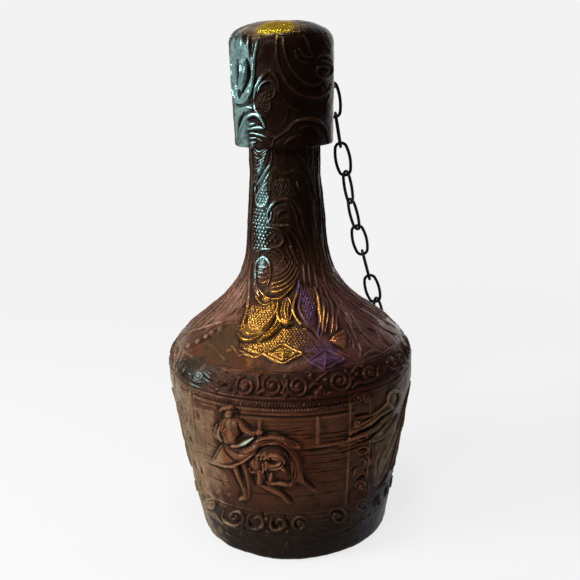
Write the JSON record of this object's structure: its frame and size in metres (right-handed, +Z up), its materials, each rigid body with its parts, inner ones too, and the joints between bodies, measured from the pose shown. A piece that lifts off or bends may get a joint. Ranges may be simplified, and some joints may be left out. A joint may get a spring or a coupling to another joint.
{
  "type": "leather-covered bottle",
  "caption": "Glass bottle covered in embossed, waxed leather, with a broad shoulder, a slim neck and a leather-covered cap on a cork, tethered by a black wire chain.",
  "frame": {"origin": "centre of the base, on the plane it stands on", "axes": "+Z up along the bottle's axis, -Y towards the front seen in the picture, +X towards the side the chain leans to"},
  "size_m": [0.127, 0.127, 0.2633],
  "materials": {
    "glass": "dark green bottle glass, smooth",
    "leather": "dark brown embossed leather, waxed and glossy, with gold, green and violet lights",
    "base_leather": "plain dark leather, worn matt",
    "core_wood": "turned softwood, unfinished",
    "cork": "natural cork, matt",
    "black_wire": "black iron wire, semi-matt"
  },
  "bodies": {
    "bottle": {"glass_bottle": "glass", "body_leather": "leather", "shoulder_leather": "leather", "base_leather": "base_leather", "jacket_staple": "black_wire"},
    "cap": {"cap_core": "core_wood", "cap_side_leather": "leather", "cap_top_leather": "leather", "cap_bottom_leather": "leather", "cork_stopper": "cork", "cap_staple": "black_wire"},
    "link_1": {"chain_link_01": "black_wire"},
    "link_2": {"chain_link_02": "black_wire"},
    "link_3": {"chain_link_03": "black_wire"},
    "link_4": {"chain_link_04": "black_wire"},
    "link_5": {"chain_link_05": "black_wire"},
    "link_6": {"chain_link_06": "black_wire"},
    "link_7": {"chain_link_07": "black_wire"},
    "link_8": {"chain_link_08": "black_wire"},
    "link_9": {"chain_link_09": "black_wire"}
  },
  "joints": [
    {"name": "cap_lift", "type": "slide", "parent": "bottle", "child": "cap", "axis": [0, 0, 1], "range_m": [0, 0.045]},
    {"name": "link_1_swing", "type": "hinge", "parent": "cap", "child": "link_1", "pos_m": [0.02461, 0.01532, 0.2308], "axis": [0.5284, -0.849, 0], "range_deg": [0, 75]},
    {"name": "link_2_swing", "type": "hinge", "parent": "link_1", "child": "link_2", "pos_m": [0.02674, 0.01736, 0.21532], "axis": [0.8965, 0.406, 0.1774], "range_deg": [0, 45]},
    {"name": "link_3_swing", "type": "hinge", "parent": "link_2", "child": "link_3", "pos_m": [0.02909, 0.0196, 0.19991], "axis": [-0.0465, -0.9874, -0.151], "range_deg": [0, 60]},
    {"name": "link_4_swing", "type": "hinge", "parent": "link_3", "child": "link_4", "pos_m": [0.03172, 0.02211, 0.18458], "axis": [0.9857, -0.0533, 0.1599], "range_deg": [0, 45]},
    {"name": "link_5_swing", "type": "hinge", "parent": "link_4", "child": "link_5", "pos_m": [0.03465, 0.02491, 0.16936], "axis": [-0.4963, -0.8318, -0.2486], "range_deg": [0, 45]},
    {"name": "link_6_swing", "type": "hinge", "parent": "link_5", "child": "link_6", "pos_m": [0.03789, 0.028, 0.15425], "axis": [0.517, -0.8536, -0.0639], "range_deg": [0, 45]},
    {"name": "link_7_swing", "type": "hinge", "parent": "link_6", "child": "link_7", "pos_m": [0.04139, 0.03135, 0.13926], "axis": [0.9735, 0.0045, 0.2286], "range_deg": [0, 60]},
    {"name": "link_8_swing", "type": "hinge", "parent": "link_7", "child": "link_8", "pos_m": [0.04516, 0.03494, 0.12439], "axis": [0.0227, -0.973, -0.2297], "range_deg": [0, 45]},
    {"name": "link_9_swing", "type": "hinge", "parent": "link_8", "child": "link_9", "pos_m": [0.04913, 0.03874, 0.10963], "axis": [0.9673, -0.0367, 0.2509], "range_deg": [0, 45]}
  ]
}
